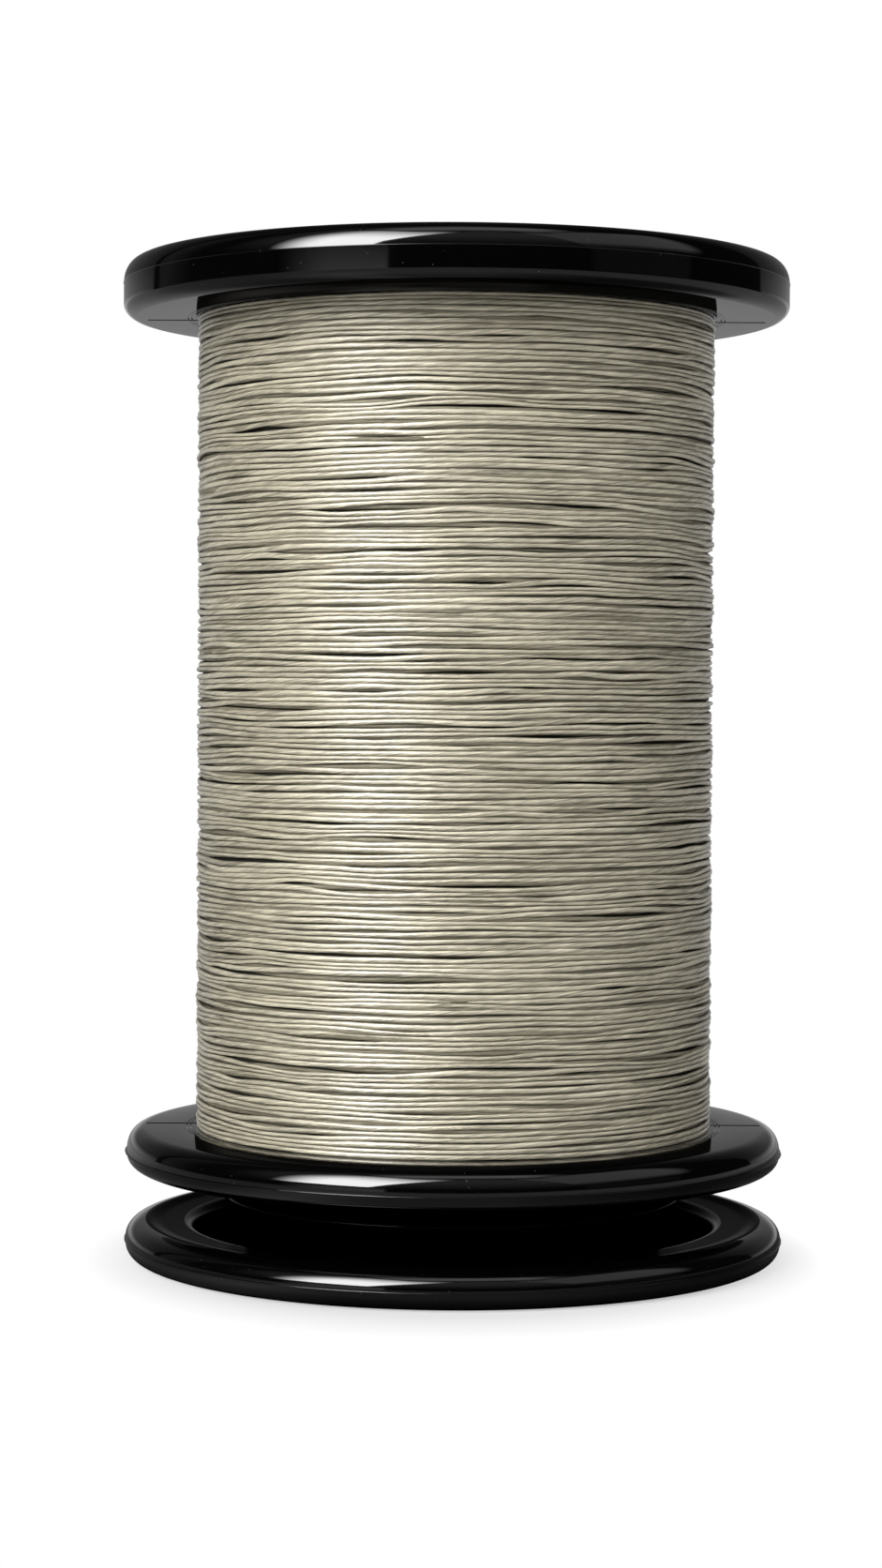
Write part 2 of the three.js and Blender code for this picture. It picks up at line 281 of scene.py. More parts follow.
def round_below(rim, start_z, face_z, width, fullness=2):
    """The rim's rounding from this height down to the lower face."""
    return arc(rim - width, start_z, width, start_z - face_z, 0, -90, fullness=fullness)[1:]


# ---------------------------------------------------------------- mouldings


def make_foot_disc():
    """Foot disc with its dish, rim bead and guide skirt, and the stem up to the slots."""
    ring_outer = FOOT_RIM - FOOT_LOWER_WIDTH
    ring_inner = ring_outer - STANDING_RING
    bead_inner = FOOT_RIM - RIM_BEAD
    edge = DISH_RADIUS + DISH_EDGE_ROUND
    profile = [
        (ARBOR_RADIUS, FLOOR_Z + FOOT_RECESS),
        (ARBOR_RADIUS, FINGER_BASE),
        (STEM_RADIUS, FINGER_BASE),
        (STEM_RADIUS, DISH_FLOOR),
        (SKIRT_INNER, DISH_FLOOR),
        (SKIRT_INNER, SKIRT_TOP),
        (SKIRT_RADIUS, SKIRT_TOP),
        (SKIRT_RADIUS, DISH_FLOOR),
        (DISH_RADIUS, DISH_FLOOR),
        *arc(edge, FOOT_LAND - DISH_EDGE_ROUND, DISH_EDGE_ROUND, DISH_EDGE_ROUND, 180, 90),
        *bead_slope(bead_inner - BEAD_SLOPE / 2, FOOT_LAND, FOOT_TOP),
        *round_above(FOOT_RIM, FOOT_CREASE, FOOT_TOP, RIM_BEAD_ROUND, ROUND_FULLNESS),
        *flash(FOOT_RIM, FOOT_CREASE, FOOT_FLASH),
        *round_below(FOOT_RIM, FOOT_CREASE - FLASH_HEIGHT / 2, FLOOR_Z, FOOT_LOWER_WIDTH,
                     ROUND_FULLNESS),
        (ring_inner, FLOOR_Z),
        (ring_inner - FOOT_RECESS, FLOOR_Z + FOOT_RECESS),
    ]
    disc = lathe("foot_disc", profile)
    ragged_flash(disc, FOOT_RIM, FOOT_FLASH, 3)
    return disc


def make_fingers():
    """The sprung fingers that the slots leave, each with its retaining bead."""
    profile = [
        (ARBOR_RADIUS, FINGER_BASE),
        (ARBOR_RADIUS, STEM_TIP),
        (STEM_RADIUS, STEM_TIP),
        (STEM_RADIUS, BEAD_HIGH),
        (BEAD_RADIUS, BEAD_HIGH - BEAD_LEAD),
        (BEAD_RADIUS, BEAD_LOW + BEAD_LEAD),
        (STEM_RADIUS, BEAD_LOW),
        (STEM_RADIUS, FINGER_BASE),
    ]
    half_slot = math.degrees(math.asin(FINGER_SLOT / 2 / STEM_RADIUS))
    step = 360 / FINGER_COUNT
    return [
        lathe(f"foot_finger_{i + 1}", profile, FINGER_SEGMENTS,
              i * step + half_slot, (i + 1) * step - half_slot)
        for i in range(FINGER_COUNT)
    ]


def make_base_flange():
    """Base flange with the boss ring, skirt cavity and bore collar under it."""
    profile = [
        (BORE_RADIUS, TRAVERSE_LOW),
        *groove(WITNESS_RADIUS - WITNESS_STEP, TRAVERSE_LOW, -1),
        *groove(WITNESS_RADIUS, TRAVERSE_LOW, -1),
        *round_above(RIM_RADIUS, BASE_CREASE, TRAVERSE_LOW, BASE_UPPER_WIDTH, ROUND_FULLNESS),
        *flash(RIM_RADIUS, BASE_CREASE, BASE_FLASH),
        *round_below(RIM_RADIUS, BASE_CREASE - FLASH_HEIGHT / 2, BASE_UNDER, BASE_LOWER_WIDTH,
                     ROUND_FULLNESS),
        *arc(BOSS_RADIUS + BOSS_ROOT_ROUND, BASE_UNDER - BOSS_ROOT_ROUND, BOSS_ROOT_ROUND,
             BOSS_ROOT_ROUND, 90, 180, SMALL_ARC_STEPS),
        (BOSS_RADIUS, BOSS_BOTTOM + BOSS_EDGE_ROUND + BOSS_LIP),
        *arc(BOSS_RADIUS, BOSS_BOTTOM + BOSS_EDGE_ROUND, BOSS_LIP, BOSS_LIP, 90, 0,
             SMALL_ARC_STEPS),
        *arc(BOSS_RADIUS + BOSS_LIP - BOSS_EDGE_ROUND, BOSS_BOTTOM + BOSS_EDGE_ROUND,
             BOSS_EDGE_ROUND, BOSS_EDGE_ROUND, 0, -90)[1:],
        (BOSS_INNER, BOSS_BOTTOM),
        (BOSS_INNER, CAVITY_ROOF),
        (BARREL_RADIUS, CAVITY_ROOF),
        (BARREL_RADIUS, BOSS_BOTTOM),
        (BORE_RADIUS, BOSS_BOTTOM),
    ]
    flange = lathe("base_flange_moulding", profile)
    ragged_flash(flange, RIM_RADIUS, BASE_FLASH, 4)
    return flange


def make_top_flange():
    """Top flange: upright band under the flash line, ring recess in the end face."""
    recess_outer = TOP_RIM - TOP_UPPER_WIDTH - TOP_LAND
    recess_inner = BORE_RADIUS + BORE_CHAMFER + HUB_LAND
    profile = [
        (BORE_RADIUS, TOP_UNDER),
        *groove(WITNESS_RADIUS - WITNESS_STEP, TOP_UNDER, 1),
        *groove(WITNESS_RADIUS, TOP_UNDER, 1),
        *round_below(TOP_RIM, TOP_BAND_LOW, TOP_UNDER, TOP_LOWER_WIDTH)[::-1],
        (TOP_RIM, TOP_BAND_LOW),
        *flash(TOP_RIM, TOP_CREASE, TOP_FLASH)[::-1],
        *round_above(TOP_RIM, TOP_CREASE, TOP_END, TOP_UPPER_WIDTH)[::-1],
        (recess_outer, TOP_END),
        (recess_outer - WALL_DRAFT, TOP_RECESS_FLOOR),
        (recess_inner + WALL_DRAFT, TOP_RECESS_FLOOR),
        (recess_inner, TOP_END),
        (BORE_RADIUS + BORE_CHAMFER, TOP_END),
        (BORE_RADIUS, TOP_END - BORE_CHAMFER),
    ]
    flange = lathe("top_flange_moulding", profile)
    ragged_flash(flange, TOP_RIM, TOP_FLASH, 5)
    return flange


def make_split_line(name, side, face_z, up):
    """The ridge that the side-split mould leaves across a flange's inner face."""
    inner = WINDING_RADIUS - SPLIT_START
    outer = RIM_RADIUS - BASE_UPPER_WIDTH
    sunk = face_z - SPLIT_SUNK * up
    verts = []
    for x in np.linspace(inner, outer, SPLIT_STATIONS):
        verts.extend([
            (side * x, -SPLIT_HALF_WIDTH, sunk),
            (side * x, 0.0, face_z + SPLIT_HEIGHT * up),
            (side * x, SPLIT_HALF_WIDTH, sunk),
        ])
    faces = []
    last = 3 * (SPLIT_STATIONS - 1)
    for a in range(0, last, 3):
        for k in range(3):
            n = (k + 1) % 3
            faces.append((a + k, a + n, a + 3 + n, a + 3 + k))
    faces.append((0, 2, 1))
    faces.append((last, last + 1, last + 2))
    if side * up < 0:
        faces = [f[::-1] for f in faces]
    return mesh_object(name, verts, faces, smooth=False)


# ---------------------------------------------------------------- winding

STRAND_PITCH = 0.42 * MM
STRAND_AREA = 0.036 * MM * MM    # half width times half height
WIDEST = 0.208 * MM              # half widths
NARROWEST = 0.135 * MM
THINNEST = 0.14 * MM             # half heights
TALLEST = 0.22 * MM
LEAST_ROW = 0.13 * MM            # the closest that two rows come
SETTLING_ROUNDS = 14             # how often the rows are pushed apart to keep that
ROW_LIFT = 0.055 * MM            # how far rows stand proud of, or sink below, the others
ROW_DIP = 0.16 * MM              # how far a row dips where hardly any room is left
SHARED_LIFT = 0.035 * MM
STEPS_PER_TURN = 144
ROW_KNOTS = ((0.15, 0.75), (0.06, 1.0), (0.025, 0.4))    # in turns, and how much each counts
SWELL_KNOTS = 0.09
LIFT_KNOTS = ((0.31, 1.0), (0.12, 0.6))
WAVE_COUNT = 9
WAVE_FADE = 4 * MM               # the wander dies out over this much at the flanges
ROW_FADE = 0.8 * MM
DIP_FADE = 1.2 * MM
DIP_SPAN = 0.05 * MM             # a row this much narrower than the narrowest dips fully
UNDER_WANDER = (0.07 * MM, 0.05 * MM)      # each row's own, and what neighbours share
OUTER_WANDER = (0.092 * MM, 0.05 * MM)
UNDER_DEPTH = 0.17 * MM          # how much deeper the pass that crosses under lies
SECTION_POWER = 0.75             # below 1 the section fills towards a rounded rectangle
LUMP = 0.05                      # how much the section swells and shrinks
LUMP_KNOTS = 2.2                 # in steps
LUMP_SEED = 18
LAYING_SEED = 11
OUTER_SIDES = 8
UNDER_SIDES = 6
CORE_DEPTH = 0.46 * MM           # the painted-shade body's top below the winding's outside
CORE_BULGE = 0.05 * MM
CORE_END_GAP = 0.02 * MM
BARREL_GAP = 0.3 * MM
CORE_SEGMENTS = 144

# The centre line of one traverse, and the strand's half width and height along it.
Pass = namedtuple("Pass", "z radius half tall")


def smooth_noise(rng, count, spacing):
    """Random values joined by a smooth curve, one knot every so many steps."""
    knots = rng.standard_normal(int(count / spacing) + 4)
    x = np.arange(count) / spacing
    i = x.astype(int)
    t = x - i
    t = t * t * (3 - 2 * t)
    return knots[i] * (1 - t) + knots[i + 1] * t


def shared_waves(rng, z, angle, size):
    """A slow wander that neighbouring turns share."""
    total = np.zeros_like(z)
    for _ in range(WAVE_COUNT):
        around = rng.integers(2, 10)
        length = rng.uniform(3.5, 11) * MM
        phase = rng.uniform(0, 2 * math.pi)
        total += np.cos(around * angle + 2 * math.pi * z / length + phase)
    return total * size / math.sqrt(WAVE_COUNT)


def summed_noise(rng, count, knots):
    """Smooth noises added up, each given as its knots' spacing in turns and its weight."""
    return sum(smooth_noise(rng, count, STEPS_PER_TURN * turns) * weight
               for turns, weight in knots)


def lay_pass(rng, direction, outside, own_size, shared_size):
    """Winds one traverse. Each row takes the room that its neighbours leave it: it lies wide
    and low where they part, narrow and tall where they close in, and dips under them where
    hardly any is left."""
    low = TRAVERSE_LOW + STRAND_PITCH / 2
    high = TRAVERSE_HIGH - STRAND_PITCH / 2
    turns = int((high - low) / STRAND_PITCH)
    count = turns * STEPS_PER_TURN
    s = np.arange(count) / STEPS_PER_TURN
    angle = 2 * math.pi * s
    # the first and the last turn lie flat against the flanges
    z = low + (high - low) * np.clip((s - 1) / (turns - 2), 0, 1)
    from_end = np.minimum(z - low, high - z)
    z += shared_waves(rng, z, angle, shared_size) * np.clip(from_end / WAVE_FADE, 0, 1)
    own = summed_noise(rng, count, ROW_KNOTS)
    z += own * own_size * np.clip(from_end / ROW_FADE, 0.15, 1)
    rows = np.clip(z, low, high).reshape(turns, STEPS_PER_TURN)
    for _ in range(SETTLING_ROUNDS):
        short = np.maximum(LEAST_ROW - np.diff(rows, axis=0), 0)
        rows[:-1] -= short / 2
        rows[1:] += short / 2
        rows = np.clip(rows, low, high)
    room = np.diff(rows, axis=0) / 2
    edge = np.full((1, STEPS_PER_TURN), STRAND_PITCH / 2)
    above = np.minimum(np.vstack([room, edge]), WIDEST)
    below = np.minimum(np.vstack([edge, room]), WIDEST)
    centre = (rows + (above - below) / 2).ravel()
    half = (above + below).ravel() / 2
    dip = np.clip((NARROWEST - half) / DIP_SPAN, 0, 1)
    half = np.maximum(half, NARROWEST)
    swell = smooth_noise(rng, count, STEPS_PER_TURN * SWELL_KNOTS)
    half *= 1.0 + 0.07 * np.clip(swell, -2, 2)
    tall = np.clip(STRAND_AREA / half, THINNEST, TALLEST)
    from_end = np.minimum(centre - low, high - centre)
    radius = outside - tall - dip * ROW_DIP * np.clip(from_end / DIP_FADE, 0, 1)
    radius += shared_waves(rng, centre, angle, SHARED_LIFT)
    lift = summed_noise(rng, count, LIFT_KNOTS)
    radius += np.clip(lift, -2.4, 1.4) * ROW_LIFT
    if direction < 0:
        centre = TRAVERSE_LOW + TRAVERSE_HIGH - centre
    return Pass(centre, radius, half, tall)


def wind():
    """The two passes that show: the outer one, and the one that crosses under it."""
    rng = np.random.default_rng(LAYING_SEED)
    under = lay_pass(rng, -1, WINDING_RADIUS - UNDER_DEPTH, *UNDER_WANDER)
    outer = lay_pass(rng, 1, WINDING_RADIUS, *OUTER_WANDER)
    return under, outer


def strand_mesh(name, one, sides):
    """One unbroken strand along a pass, flattened where it lies, with its length as U."""
    count = len(one.z)
    angle = 2 * math.pi * np.arange(count) / STEPS_PER_TURN
    centre = np.stack([one.radius * np.cos(angle), one.radius * np.sin(angle), one.z], axis=1)
    along = np.gradient(centre, axis=0)
    along /= np.linalg.norm(along, axis=1)[:, None]
    outward = np.stack([np.cos(angle), np.sin(angle), np.zeros_like(angle)], axis=1)
    across = np.cross(along, outward)
    across /= np.linalg.norm(across, axis=1)[:, None]
    outward = np.cross(across, along)

    def filled(value):
        return math.copysign(abs(value) ** SECTION_POWER, value)

    rng = np.random.default_rng(LUMP_SEED)
    rings = []
    for k in range(sides):
        turn = 2 * math.pi * k / sides
        lump = 1 + np.clip(smooth_noise(rng, count, LUMP_KNOTS), -2, 2) * LUMP
        out = one.tall * filled(math.cos(turn)) * lump
        side = one.half * filled(math.sin(turn)) * lump
        rings.append(centre + outward * out[:, None] + across * side[:, None])
    verts = np.stack(rings, axis=1).reshape(-1, 3)
    i = np.arange(count - 1)[:, None]
    k = np.arange(sides)[None, :]
    n = (k + 1) % sides
    quads = np.stack([
        i * sides + k,
        i * sides + n,
        (i + 1) * sides + n,
        (i + 1) * sides + k,
    ], axis=2).reshape(-1, 4)

    mesh = bpy.data.meshes.new(name)
    mesh.vertices.add(len(verts))
    mesh.vertices.foreach_set("co", verts.ravel())
    loops = quads.size
    total = loops + 2 * sides
    first_cap = np.arange(sides)[::-1]
    last_cap = (count - 1) * sides + np.arange(sides)
    mesh.loops.add(total)
    mesh.loops.foreach_set("vertex_index",
                           np.concatenate([quads.ravel(), first_cap, last_cap]))
    faces = len(quads)
    mesh.polygons.add(faces + 2)
    starts = np.concatenate([np.arange(faces) * 4, [loops, loops + sides]])
    mesh.polygons.foreach_set("loop_start", starts)
    mesh.polygons.foreach_set("use_smooth", np.ones(faces + 2, bool))
    mesh.update(calc_edges=True)
    if signed_volume(verts, quads) < 0:
        mesh.flip_normals()

    length = np.concatenate([[0], np.cumsum(np.linalg.norm(np.diff(centre, axis=0), axis=1))])
    here = length[:-1, None].repeat(sides, 1)
    there = length[1:, None].repeat(sides, 1)
    u = np.stack([here, here, there, there], axis=2)
    v0 = (np.arange(sides) / sides)[None, :].repeat(count - 1, 0)
    v1 = v0 + 1 / sides
    v = np.stack([v0, v1, v1, v0], axis=2)
    uv = np.zeros((total, 2))
    uv[:loops, 0] = u.reshape(-1) / MM
    uv[:loops, 1] = v.reshape(-1)
    layer = mesh.uv_layers.new(name="strand")
    layer.data.foreach_set("uv", uv.ravel())
    obj = bpy.data.objects.new(name, mesh)
    bpy.context.collection.objects.link(obj)
    return obj


def signed_volume(verts, quads):
    """Six times the volume; below zero where the faces look inward."""
    a, b, c, d = (verts[quads[:, k]] for k in range(4))
    first = np.einsum("ij,ij->i", a, np.cross(b, c))
    second = np.einsum("ij,ij->i", a, np.cross(c, d))
    return float((first + second).sum())


def make_core():
    """The winding's inner body, coloured near black as painted shade, which closes the view
    between the strands.
    """
    low = TRAVERSE_LOW + CORE_END_GAP
    high = TRAVERSE_HIGH - CORE_END_GAP
    outer = WINDING_RADIUS - CORE_DEPTH
    inner = BARREL_RADIUS + BARREL_GAP
    profile = [(inner, low)]
    rows = int((high - low) / (STRAND_PITCH * 0.5))
    for i in range(rows + 1):
        profile.append((outer + CORE_BULGE * (i % 2), low + (high - low) * i / rows))
    profile.append((inner, high))
    return lathe("winding_inner_layers", profile, CORE_SEGMENTS)


# ---------------------------------------------------------------- node helpers


def node(tree, kind, **settings):
    made = tree.nodes.new(kind)
    for key, value in settings.items():
        setattr(made, key, value)
    return made


def feed(tree, value, target):
    """Sets a socket to a plain number, or links it."""
    if isinstance(value, (int, float)):
        target.default_value = value
    else:
        tree.links.new(value, target)


def math_node(tree, operation, *values):
    made = node(tree, "ShaderNodeMath", operation=operation)
    for value, target in zip(values, made.inputs):
        feed(tree, value, target)
    return made.outputs[0]


def product(tree, *values):
    return reduce(lambda a, b: math_node(tree, "MULTIPLY", a, b), values)


def added(tree, *values):
    return reduce(lambda a, b: math_node(tree, "ADD", a, b), values)


def remap(tree, value, low, high, to_low, to_high, smooth=False):
    made = node(tree, "ShaderNodeMapRange",
                interpolation_type="SMOOTHSTEP" if smooth else "LINEAR")
    for key, given in (("Value", value), ("From Min", low), ("From Max", high),
                       ("To Min", to_low), ("To Max", to_high)):
        feed(tree, given, made.inputs[key])
    return made.outputs["Result"]


def mix_number(tree, factor, a, b):
    made = node(tree, "ShaderNodeMix", data_type="FLOAT")
    for key, given in (("Factor", factor), ("A", a), ("B", b)):
        feed(tree, given, made.inputs[key])
    return made.outputs["Result"]


def mix_colour(tree, factor, a, b):
    made = node(tree, "ShaderNodeMix", data_type="RGBA")
    tree.links.new(factor, made.inputs["Factor"])
    made.inputs["A"].default_value = (*a, 1)
    made.inputs["B"].default_value = (*b, 1)
    return made.outputs["Result"]


def mix_shader(tree, factor, first, second):
    made = node(tree, "ShaderNodeMixShader")
    for given, target in zip((factor, first, second), made.inputs):
        tree.links.new(given, target)
    return made.outputs[0]


def emission(tree, strength):
    made = node(tree, "ShaderNodeEmission")
    feed(tree, strength, made.inputs["Strength"])
    return made


def place(tree):
    """Where a point lies on its object."""
    return node(tree, "ShaderNodeTexCoord").outputs["Object"]


def axes(tree, vector):
    made = node(tree, "ShaderNodeSeparateXYZ")
    tree.links.new(vector, made.inputs[0])
    return made.outputs["X"], made.outputs["Y"], made.outputs["Z"]


def vector_of(tree, *values):
    made = node(tree, "ShaderNodeCombineXYZ")
    for value, target in zip(values, made.inputs):
        feed(tree, value, target)
    return made.outputs[0]


def length_of(tree, vector):
    made = node(tree, "ShaderNodeVectorMath", operation="LENGTH")
    tree.links.new(vector, made.inputs[0])
    return made.outputs["Value"]


def stretched(tree, vector, scale, rotation=(0, 0, 0)):
    made = node(tree, "ShaderNodeMapping")
    made.inputs["Scale"].default_value = scale
    made.inputs["Rotation"].default_value = rotation
    tree.links.new(vector, made.inputs["Vector"])
    return made.outputs[0]


def noise(tree, vector, scale, detail=4.0, roughness=0.55):
    made = node(tree, "ShaderNodeTexNoise")
    made.inputs["Scale"].default_value = scale
    made.inputs["Detail"].default_value = detail
    made.inputs["Roughness"].default_value = roughness
    tree.links.new(vector, made.inputs["Vector"])
    return made.outputs["Fac"]


def bump(tree, height, strength, distance, shader):
    made = node(tree, "ShaderNodeBump")
    made.inputs["Strength"].default_value = strength
    made.inputs["Distance"].default_value = distance
    tree.links.new(height, made.inputs["Height"])
    tree.links.new(made.outputs[0], shader.inputs["Normal"])


def shader_material(name):
    material = bpy.data.materials.new(name)
    material.use_nodes = True
    tree = material.node_tree
    return material, tree, tree.nodes["Principled BSDF"]


def bare_material(name):
    """A material that holds only its output's surface socket."""
    material = bpy.data.materials.new(name)
    material.use_nodes = True
    tree = material.node_tree
    tree.nodes.clear()
    return material, tree, node(tree, "ShaderNodeOutputMaterial").inputs["Surface"]


def effect_group(name, inputs, outputs):
    """A node group with named number sockets, and its inner two ends."""
    tree = bpy.data.node_groups.new(name, "ShaderNodeTree")
    for label, value in inputs.items():
        made = tree.interface.new_socket(name=label, in_out="INPUT",
                                         socket_type="NodeSocketFloat")
        made.default_value = value
    for label in outputs:
        tree.interface.new_socket(name=label, in_out="OUTPUT", socket_type="NodeSocketFloat")
    return tree, node(tree, "NodeGroupInput"), node(tree, "NodeGroupOutput")


# ---------------------------------------------------------------- materials

# Colour, roughness, scratches, dust, strength of the orange peel, level of the gloss.
PLASTICS = {
    "flange_plastic": ((0.0008, 0.0008, 0.0009), 0.06, 0.6, 0.6, 0.05, 0.5),
    "foot_plastic": ((0.0008, 0.0008, 0.0009), 0.065, 0.7, 0.5, 0.05, 0.5),
    "barrel_plastic": ((0.003, 0.003, 0.003), 0.22, 0.4, 0.2, 0.08, 0.5),
    "face_plastic": ((0.0008, 0.0008, 0.0009), 0.075, 0.5, 0.6, 0.14, 0.4),
    # painted shade: the land, dish edge and boss edge have their gloss turned down, so they stay
    # dark in the shaded waist
    "land_plastic": ((0.0006, 0.0006, 0.0006), 0.20, 0.5, 0.3, 0.10, 0.001),
    # painted shade: near black and without gloss, for the shaded insides of the waist
    "painted_shade_plastic": ((0.0001, 0.0001, 0.0001), 0.5, 0.0, 0.0, 0.0, 0.0),
    "dish_edge_plastic": ((0.0003, 0.0003, 0.0003), 0.22, 0.3, 0.0, 0.05, 0.025),
    "boss_edge_plastic": ((0.0002, 0.0002, 0.0002), 0.12, 0.3, 0.0, 0.0, 0.12),
}
PLASTIC_IOR = 1.53
PEEL_DEPTH = 0.02 * MM
DUST = (0.23, 0.22, 0.19)
SCRATCH_ROUGHNESS = 0.22
DUST_ROUGHNESS = 0.4

# Dark streaks, light streaks, roughness, painted shade in the flanks, sheen, level of the gloss.
STRANDS = {
    "strand_outer": ((0.19, 0.168, 0.116), (0.78, 0.72, 0.55), 0.32, 0.92, 1.0, 1.0),
    # painted shade: the under pass is the same strand coloured darker, with less gloss, for the
    # shade it lies in
    "strand_under_shaded": ((0.09, 0.081, 0.056), (0.31, 0.283, 0.205), 0.5, 0.9, 0, 0.25),
    # painted shade: the inner layers are the strand coloured near black
    "strand_core_shaded": ((0.003, 0.003, 0.002), (0.006, 0.006, 0.004), 0.8, 0, 0, 0.25),
}
STRAND_IOR = 1.6
STRAND_GLOSS_TINT = (1.0, 0.94, 0.80)
SHEEN_ROUGHNESS = 0.26
# painted shade: the colour that darkens each strand towards its flanks
FLANK_SHADE_COLOUR = (0.06, 0.048, 0.025)
TWIST = 0.11                     # turns of the streaks along each millimetre
FIBRE_DEPTH = 0.10 * MM
FIBRE_RELIEF = 0.8


def moulded_surface_group():
    """Gloss moulding: faint handling scratches, dust, and a slight orange peel."""
    tree, inside, outside = effect_group("moulded_surface", {"Scratches": 0.5, "Dust": 0.5},
                                         ("Scratch", "Specks", "Height"))
    where = place(tree)
    lines = noise(tree, stretched(tree, where, (260, 900, 500), (0.2, 0.1, 0.6)), 1.6, 6, 0.7)
    scratch = product(tree, remap(tree, lines, 0.66, 0.78, 0, 1), inside.outputs["Scratches"])
    grain = noise(tree, where, 5200, 2, 0.5)
    specks = product(tree, remap(tree, grain, 0.745, 0.80, 0, 1), inside.outputs["Dust"])
    peel = noise(tree, where, 420, 3, 0.5)
    fine = noise(tree, where, 9000, 2, 0.6)
    tree.links.new(scratch, outside.inputs["Scratch"])
    tree.links.new(specks, outside.inputs["Specks"])
    tree.links.new(added(tree, peel, product(tree, fine, 0.12)), outside.inputs["Height"])
    return tree


def twisted_fibres_group():
    """Fine filaments along a strand: streaks that lean with the strand's slight twist."""
    tree, inside, outside = effect_group("twisted_fibres", {"Twist": 0.35},
                                         ("Streak", "Height", "Lengths", "Flank"))
    along, round_it, _ = axes(tree, node(tree, "ShaderNodeUVMap", uv_map="strand").outputs["UV"])
    around = added(tree, round_it, product(tree, along, inside.outputs["Twist"]))

    def streaks(per_turn, along_scale, detail):
        turn = product(tree, around, 2 * math.pi)
        spot = vector_of(tree, product(tree, math_node(tree, "COSINE", turn), per_turn),
                         product(tree, math_node(tree, "SINE", turn), per_turn),
                         product(tree, along, along_scale))
        return noise(tree, spot, 1.0, detail, 0.6)

    height = added(tree, product(tree, streaks(2.1, 0.30, 2), 0.55),
                   product(tree, streaks(5.0, 0.9, 3), 0.45))
    lengths = noise(tree, vector_of(tree, product(tree, along, 0.07)), 1.0, 4, 0.62)
    outward = math_node(tree, "COSINE", product(tree, round_it, 2 * math.pi))
    tree.links.new(height, outside.inputs["Streak"])
    tree.links.new(height, outside.inputs["Height"])
    tree.links.new(lengths, outside.inputs["Lengths"])
    # the Flank mask: 1 at a strand's sides, where its painted shade goes
    tree.links.new(remap(tree, outward, 0.20, 0.80, 1.0, 0.0), outside.inputs["Flank"])
    return tree


def black_plastic(name, group, colour, roughness, scratches, dust, peel, gloss):
    material, tree, shader = shader_material(name)
    surface = node(tree, "ShaderNodeGroup", node_tree=group)
    surface.inputs["Scratches"].default_value = scratches
    surface.inputs["Dust"].default_value = dust
    shade = mix_colour(tree, surface.outputs["Specks"], colour, DUST)
    tree.links.new(shade, shader.inputs["Base Color"])
    rough = added(tree, product(tree, surface.outputs["Scratch"], SCRATCH_ROUGHNESS), roughness,
                  product(tree, surface.outputs["Specks"], DUST_ROUGHNESS))
    tree.links.new(rough, shader.inputs["Roughness"])
    shader.inputs["IOR"].default_value = PLASTIC_IOR
    shader.inputs["Specular IOR Level"].default_value = gloss
    bump(tree, surface.outputs["Height"], peel, PEEL_DEPTH, shader)
    return material


def strand_finish(name, group, dark, light, roughness, flank_shade, sheen, gloss):
    """Waxed fibre: streaks light and dark, lengths that differ, and painted shade down in the
    flanks.
    """
    material, tree, shader = shader_material(name)
    fibres = node(tree, "ShaderNodeGroup", node_tree=group)
    fibres.inputs["Twist"].default_value = TWIST
    streak = remap(tree, fibres.outputs["Streak"], 0.36, 0.62, 0, 1)
    shift = remap(tree, fibres.outputs["Lengths"], 0.30, 0.70, -0.45, 0.45)
    tone = added(tree, streak, shift)
    tone.node.use_clamp = True
    # painted shade: darker towards each strand's flanks
    shaded = node(tree, "ShaderNodeMix", data_type="RGBA", blend_type="MULTIPLY")
    tree.links.new(product(tree, fibres.outputs["Flank"], flank_shade), shaded.inputs["Factor"])
    tree.links.new(mix_colour(tree, tone, dark, light), shaded.inputs["A"])
    shaded.inputs["B"].default_value = (*FLANK_SHADE_COLOUR, 1)
    tree.links.new(shaded.outputs["Result"], shader.inputs["Base Color"])
    rough = remap(tree, fibres.outputs["Lengths"], 0.3, 0.7, roughness + 0.08, roughness - 0.05)
    tree.links.new(rough, shader.inputs["Roughness"])
    shader.inputs["IOR"].default_value = STRAND_IOR
    shader.inputs["Specular IOR Level"].default_value = gloss
    shader.inputs["Specular Tint"].default_value = (*STRAND_GLOSS_TINT, 1)
    shader.inputs["Coat Weight"].default_value = sheen
    shader.inputs["Coat Roughness"].default_value = SHEEN_ROUGHNESS
    bump(tree, fibres.outputs["Height"], FIBRE_RELIEF, FIBRE_DEPTH, shader)
    return material


def paint(obj, material):
    """One finish all over."""
    obj.data.materials.clear()
    obj.data.materials.append(material)


def paint_where(obj, material, chosen):
    """A further finish on the faces that chosen(radius, height, upright) picks."""
    obj.data.materials.append(material)
    index = len(obj.data.materials) - 1
    for poly in obj.data.polygons:
        middle = poly.center
        if chosen(math.hypot(middle.x, middle.y), middle.z, abs(poly.normal.z)):
            poly.material_index = index


# ---------------------------------------------------------------- stage, light and camera

SKY_LEVEL = 0.17                 # even light from all round
FRONT_DARK = 0.012               # what gloss mirrors from the dark room in front
BACKDROP_EDGE = 0.58             # cosine of the angle from straight behind to its edges
BACKDROP_BLUR = 0.012            # the edge's softness, as a cosine
BACKDROP_SIDES = 0.35            # its level at those edges
BACKDROP_STRIP = (0.03, 0.16, 0.60, 0.15)     # bright at the horizon, dim from nine degrees up
BACKDROP_TOP = (0.25, 0.75, 1.0, 0.15)
FRONT_CEILING = (0.15, 0.60, 0.0, 0.28)       # the dim room in front, high up
SIDE_FLAG = 0.06                 # a dim upright strip beyond the backdrop's left edge
FLAG_START = (BACKDROP_EDGE - 0.39, BACKDROP_EDGE - 0.14, 0.0, 1.0)
FLAG_END = (BACKDROP_EDGE - 0.065, BACKDROP_EDGE - 0.05, 1.0, 0.0)

